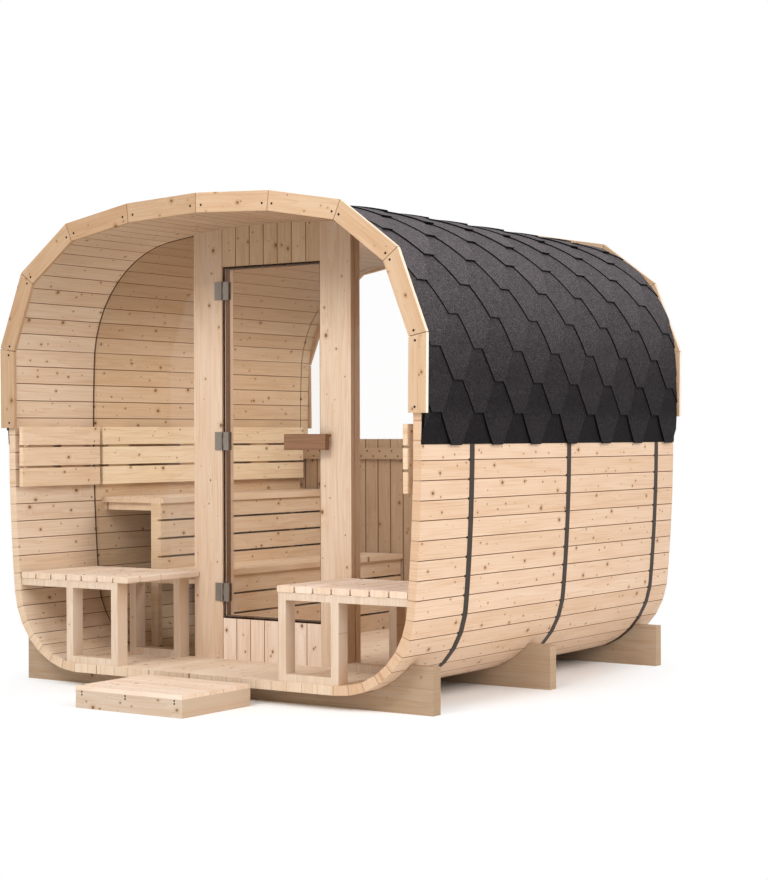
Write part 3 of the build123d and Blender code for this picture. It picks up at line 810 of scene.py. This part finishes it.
finish = Finish("hinge_metal")
brushed = finish.noise(finish.x * 900, finish.y * 900, finish.z * 40, 3.0)
colour = finish.mix((brushed + 0.2).ramp(0.0, 0.5), (0.235, 0.205, 0.17), (0.34, 0.30, 0.26))
hinge_metal = finish.surface(colour, 0.38 + brushed * 0.15, brushed, 0.0001, Metallic=0.7)
for name in ("post_hinge_plates", "door_hinge_clamps"):
    dress(name, hinge_metal)


def brown_wood(name, tone, seed):
    """Heat-treated wood with a fine straight grain."""
    finish = Finish(name)
    line = finish.noise(finish.x * 3, finish.y * 120, finish.z * 160 + seed, 3.0)
    colour = finish.mix((line + 0.1).ramp(0.0, 0.3), tone, [value * 0.78 for value in tone])
    return finish.surface(colour, 0.55 + line * 0.1, line, 0.0002, Specular_IOR_Level=0.2)


dress("door_handles", brown_wood("handle_wood", (0.275, 0.145, 0.080), 5.0))
dress("door_catch", brown_wood("catch_body", (0.40, 0.25, 0.165), 9.0))


def bar(mesh, low, high):
    """A box between two corners."""
    low, high = Vector(low), Vector(high)
    place = Matrix.Translation((low + high) / 2) @ Matrix.Diagonal((*(high - low), 1.0))
    bmesh.ops.create_cube(mesh, size=1.0, matrix=place)


def doorway_trim(name, inset, front, back, width, material):
    """Four bars round the doorway, an inset within its rebate, as one piece."""
    left, right = doorway_left + inset, doorway_right - inset
    foot, head = doorway_foot + inset, doorway_head - inset
    mesh = bmesh.new()
    bar(mesh, (left, front, foot), (left + width, back, head))
    bar(mesh, (right - width, front, foot), (right, back, head))
    bar(mesh, (left, front, foot), (right, back, foot + width))
    bar(mesh, (left, front, head - width), (right, back, head))
    piece = mesh_piece(name, mesh, material)
    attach(piece, "root")


# The seal is near black: partly the rubber's colour, partly painted shade for the gap round the door
# leaf.
finish = Finish("door_seal_gap_shade")
door_seal_gap_shade_rubber = finish.surface((0.035, 0.014, 0.006, 1.0), 0.8, Specular_IOR_Level=0.05)
doorway_trim("door_seal_gap_shade", 0.0, seal_front, stop_front, seal_width, door_seal_gap_shade_rubber)
lining_wood = brown_wood("lining_wood", (0.20, 0.11, 0.062), 2.0)
lining_back = stop_front + lining_depth
doorway_trim("door_lining", stop, stop_front, lining_back, lining_sheet, lining_wood)

# Rear wall
# Upright spruce boards close the shell from the floor up to the rear pane, with a level rail
# across their inner face, held by two screws a board.
rear_cover = 2 * half_width / round(2 * half_width / stave_cover)
rail_screw_starts = ((-1.111, 1.130), (-1.068, 1.100))
rail_screw_pitch = 0.0865
rail_screw_reach = 1.15
# The boards and the rail get dark tones: painted shade at the back of the room.
finish = Finish("rear_wall_boards")
grain = (finish.z, finish.x + half_width, finish.y, rear_cover)
dress("rear_wall_boards", finish.spruce(*grain, seed=80.0, seam=0.004, tone=(0.52, 0.40, 0.285)))
finish = Finish("rear_wall_rail")
grain = (finish.x, finish.z, finish.y, 2.0)
dress("rear_wall_rail", finish.spruce(*grain, seed=81.0, seam=0, tone=(0.53, 0.41, 0.29)))
rail_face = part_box("rear_wall_rail")[0].y
places = []
for number in range(26):
    for start, height in rail_screw_starts:
        place = start + number * rail_screw_pitch
        if abs(place) < rail_screw_reach:
            places.append((place, rail_face, height))
screws("rail_screws", places, (0, -1, 0), radius=0.0055)

# Inner benches
# Spruce planks run along the left wall on bearers, in two steps, with slatted risers below them.
# A cross board covers the planks' front ends, with two screws a plank.
bench_planks = {"upper_bench_top": 4, "lower_bench_top": 3}
plank_gap = 0.01
bench_screw_inset = 0.014
bench_screw_limit = -1.15
for number, (name, planks) in enumerate(bench_planks.items()):
    low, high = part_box(name)
    cover = (high.x - low.x + plank_gap) / planks
    finish = Finish(name)
    grain = (finish.y, finish.x - low.x, finish.z, cover)
    dress(name, finish.spruce(*grain, seed=90.0 + number, seam=0, tone=(0.82, 0.68, 0.53)))
    places = []
    for plank in range(planks):
        for share in (0.25, 0.75):
            place = low.x + (plank + share) * cover
            if place > bench_screw_limit:
                places.append((place, low.y + bench_screw_inset, high.z))
    screws(f"{name}_screws", places, (0, 0, 1), radius=0.004)
riser_pitch = 0.094
for number, name in enumerate(("upper_bench_riser", "lower_bench_riser")):
    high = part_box(name)[1]
    finish = Finish(name)
    grain = (finish.y, high.z - finish.z, finish.x, riser_pitch)
    dress(name, finish.spruce(*grain, seed=92.0 + number, seam=0, tone=(0.80, 0.66, 0.50)))

# Backrests
# Level spruce slats are screwed to short battens on the staves: one row along the upper bench,
# and one on each side of the porch.
backrest_pitch = 0.104
for number, name in enumerate(("inner_backrest", "left_porch_backrest", "right_porch_backrest")):
    # The backrest in the room gets a paler tone than the porch ones: painted light.
    tone = (0.86, 0.69, 0.52) if number else (0.98, 0.84, 0.62)
    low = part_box(name)[0]
    finish = Finish(name)
    grain = (finish.y, finish.z - low.z, finish.x, backrest_pitch)
    dress(name, finish.spruce(*grain, seed=95.0 + number, seam=0, tone=tone))

# Porch benches
# Seven spruce slats with eased edges run along each side of the porch, on two open frames of
# square legs and rails.
porch_slats = 7
slat_tones = {"left": (0.87, 0.75, 0.64), "right": (0.93, 0.795, 0.695)}
frame_tone = (0.74, 0.61, 0.49)
for number, (side, tone) in enumerate(slat_tones.items()):
    name = f"{side}_porch_bench_slats"
    low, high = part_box(name)
    finish = Finish(name)
    cover = (high.x - low.x + plank_gap) / porch_slats
    grain = (finish.y, finish.x - low.x, finish.z, cover)
    dress(name, finish.spruce(*grain, seed=100.0 + number, seam=0, tone=tone))
    name = f"{side}_porch_bench_frames"
    finish = Finish(name)
    grain = (finish.z, finish.x + 3.0, finish.y, 0.5)
    dress(name, finish.spruce(*grain, seed=102.0 + number, seam=0, tone=frame_tone))

# Step
# A box of spruce boards with planks across its top, loose on the ground. Pairs of screws hold
# the front board.
step_plank_count = 5
step_plank_gap = 0.003
step_board = 0.1
step_screw_shares = (0.06, 0.475, 0.93)
step_screw_heights = (0.061, 0.074)
low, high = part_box("step_planks")
finish = Finish("step_planks")
grain = (finish.x, finish.y - low.y, finish.z, (high.y - low.y + step_plank_gap) / step_plank_count)
dress("step_planks", finish.spruce(*grain, seed=110.0, seam=0, tone=(0.88, 0.73, 0.61)))
finish = Finish("step_box")
grain = (finish.x, finish.z + 0.005, finish.y, step_board)
dress("step_box", finish.spruce(*grain, seed=111.0, seam=0, tone=(0.63, 0.51, 0.40), clear=0.6))
places = []
for share in step_screw_shares:
    for height in step_screw_heights:
        places.append((low.x + (high.x - low.x) * share, low.y, height))
screws("step_screws", places, (0, -1, 0), radius=0.0050)

# Floor, backdrop and light
# A pale floor that keeps the shadow, a white surround and soft square lamps, as in a studio. One
# small lamp in the room stands for the daylight that the walls throw about.
floor_paint = (0.95, 0.95, 0.95, 1.0)
white = (1.0, 1.0, 1.0, 1.0)
soft_grey = (0.8, 0.8, 0.8, 1.0)
surround_strength = 0.78


def background_rays(finish):
    """1 for the rays that show the background: the camera's, and those by gloss or through glass."""
    seen = finish.node("LightPath", out="Is Camera Ray")
    for ray in ("Is Glossy Ray", "Is Transmission Ray"):
        seen = seen.most(finish.node("LightPath", out=ray))
    return seen


mesh = bmesh.new()
bmesh.ops.create_grid(mesh, x_segments=1, y_segments=1, size=40.0)
finish = Finish("studio_floor")
paint = finish.node("BsdfDiffuse", sockets={"Color": floor_paint})
glow = finish.node("Emission", sockets={"Color": white, "Strength": 1.0})
away = (finish.x * finish.x * 0.5 + finish.y * finish.y * 0.35).root().ramp(0.80, 1.20)
share = away * background_rays(finish)
finish.end_in(finish.node("MixShader", sockets={0: share, 1: paint, 2: glow}))
floor = mesh_piece("studio_floor", mesh, finish.material)

world = bpy.data.worlds.new("studio")
bpy.context.scene.world = world
finish = Finish("studio", world)
soft = finish.node("Background", sockets={"Color": soft_grey, "Strength": surround_strength})
bright = finish.node("Background", sockets={"Color": white, "Strength": 1.0})
share = background_rays(finish)
finish.end_in(finish.node("MixShader", sockets={0: share, 1: soft, 2: bright}), "World")


def lamp(name, place, target, size, power):
    """A square soft lamp that points at a place and isn't seen itself."""
    light = bpy.data.lights.new(name, "AREA")
    light.shape = "SQUARE"
    light.size = size
    light.energy = power
    item = bpy.data.objects.new(name, light)
    aim = (Vector(target) - Vector(place)).to_track_quat("-Z", "Y")
    item.matrix_world = Matrix.Translation(place) @ aim.to_matrix().to_4x4()
    item.visible_camera = False
    item.visible_glossy = False
    bpy.context.scene.collection.objects.link(item)


lamp("key_lamp", (9.0, -2.0, 6.0), (0.0, 0.0, 1.0), 5.0, 480.0)
lamp("front_lamp", (0.5, -8.5, 7.5), (0.0, -0.5, 0.6), 4.0, 520.0)
lamp("room_lamp", (0.45, 0.30, 1.9), (-1.0, 0.6, 0.95), 0.8, 15.0)

# Camera
# It stands before the right corner of the porch, at 1.2 m over the ground, with a lens of 78 mm.
camera_place = Vector((5.7288, -8.0053, 1.2210))
camera_turn = radians(34.43)
camera_pitch = radians(-0.14)
camera_roll = radians(-0.18)

camera_data = bpy.data.cameras.new("camera")
camera_data.lens = 78.12
camera_data.sensor_width = 36.0
camera_data.clip_end = 200.0
camera = bpy.data.objects.new("camera", camera_data)
camera.matrix_world = (
    Matrix.Translation(camera_place)
    @ Matrix.Rotation(camera_turn, 4, "Z")
    @ Matrix.Rotation(pi / 2 + camera_pitch, 4, "X")
    @ Matrix.Rotation(camera_roll, 4, "Z")
)
bpy.context.scene.collection.objects.link(camera)
bpy.context.scene.camera = camera
bpy.context.scene.view_settings.view_transform = "Standard"
